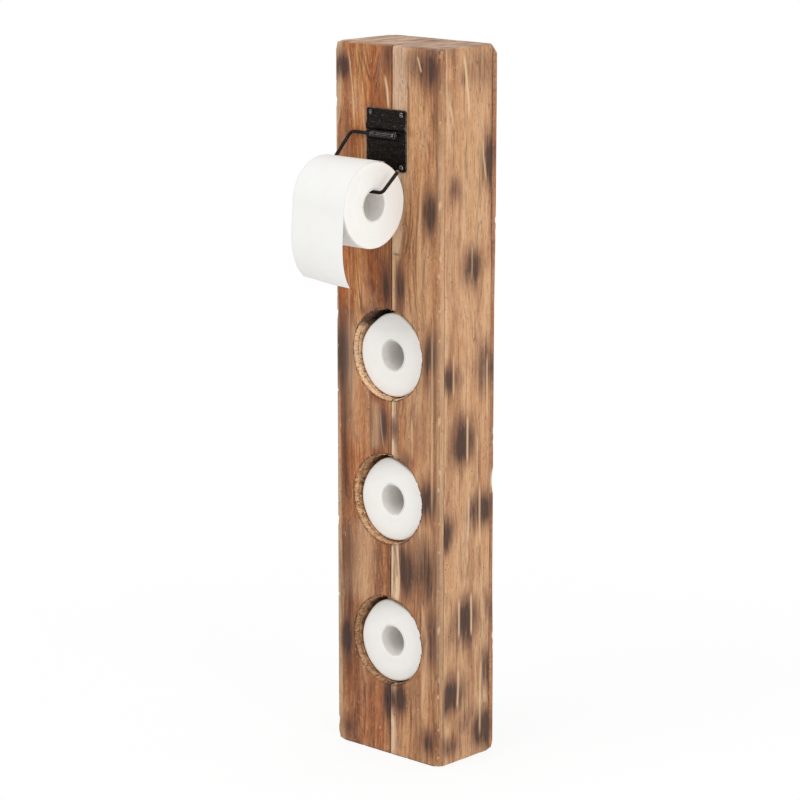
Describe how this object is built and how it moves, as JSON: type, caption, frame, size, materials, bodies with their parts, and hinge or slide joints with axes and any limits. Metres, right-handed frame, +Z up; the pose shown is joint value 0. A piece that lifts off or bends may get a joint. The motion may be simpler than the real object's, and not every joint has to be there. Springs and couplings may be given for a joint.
{
  "type": "toilet roll holder",
  "caption": "Free-standing wooden column with blind bores for spare toilet rolls and a swinging wire hanger on a curled steel plate.",
  "frame": {"origin": "centre of the column's base, on the floor", "axes": "+Z up along the column, -Y out of the front with the bores, +X to the right seen from the front"},
  "size_m": [0.193, 0.2374, 1],
  "materials": {
    "front_stave_left": "reclaimed teak heartwood, oiled, scorched in patches",
    "front_stave_right": "reclaimed teak with pale sapwood along the seam, oiled",
    "core_beam_left": "reclaimed teak, planed, scorched in patches",
    "core_beam_right": "reclaimed teak, planed, scorched in patches",
    "back_board": "rough-sawn reclaimed teak",
    "wall_plate": "black lacquer over forged sheet steel",
    "screw": "blackened steel worn bright on the rims",
    "hanger": "satin black lacquer on steel wire",
    "roll_core": "pale grey wound board",
    "tissue": "soft white tissue"
  },
  "bodies": {
    "column": {"front_stave_left": "front_stave_left", "front_stave_right": "front_stave_right", "core_beam_left": "core_beam_left", "core_beam_right": "core_beam_right", "back_board": "back_board", "wall_plate": "wall_plate", "plate_screw_1": "screw", "plate_screw_2": "screw", "plate_screw_3": "screw", "plate_screw_4": "screw"},
    "hanger": {"hanger": "hanger"},
    "loose_sheet": {"loose_sheet": "tissue"},
    "hanging_roll": {"hanging_roll_core": "roll_core", "hanging_roll_paper": "tissue"},
    "spare_roll_1": {"spare_roll_1_core": "roll_core", "spare_roll_1_paper": "tissue"},
    "spare_roll_2": {"spare_roll_2_core": "roll_core", "spare_roll_2_paper": "tissue"},
    "spare_roll_3": {"spare_roll_3_core": "roll_core", "spare_roll_3_paper": "tissue"}
  },
  "joints": [
    {"name": "arm_swing", "type": "hinge", "parent": "column", "child": "hanger", "pos_m": [0, -0.0634, 0.879], "axis": [-1, 0, 0], "range_deg": [0, 90]},
    {"name": "roll_hang", "type": "hinge", "parent": "hanger", "child": "loose_sheet", "pos_m": [0, -0.1191, 0.8111], "axis": [-1, 0, 0], "range_deg": [-90, 0]},
    {"name": "roll_spin", "type": "hinge", "parent": "loose_sheet", "child": "hanging_roll", "pos_m": [0, -0.1191, 0.7929], "axis": [-1, 0, 0], "continuous": true},
    {"name": "spare_roll_1_pull", "type": "slide", "parent": "column", "child": "spare_roll_1", "axis": [0, -1, 0], "range_m": [0, 0.106]},
    {"name": "spare_roll_2_pull", "type": "slide", "parent": "column", "child": "spare_roll_2", "axis": [0, -1, 0], "range_m": [0, 0.106]},
    {"name": "spare_roll_3_pull", "type": "slide", "parent": "column", "child": "spare_roll_3", "axis": [0, -1, 0], "range_m": [0, 0.106]}
  ],
  "couplings": [
    {"joint": "roll_hang", "follows": "arm_swing", "ratio": -1}
  ]
}
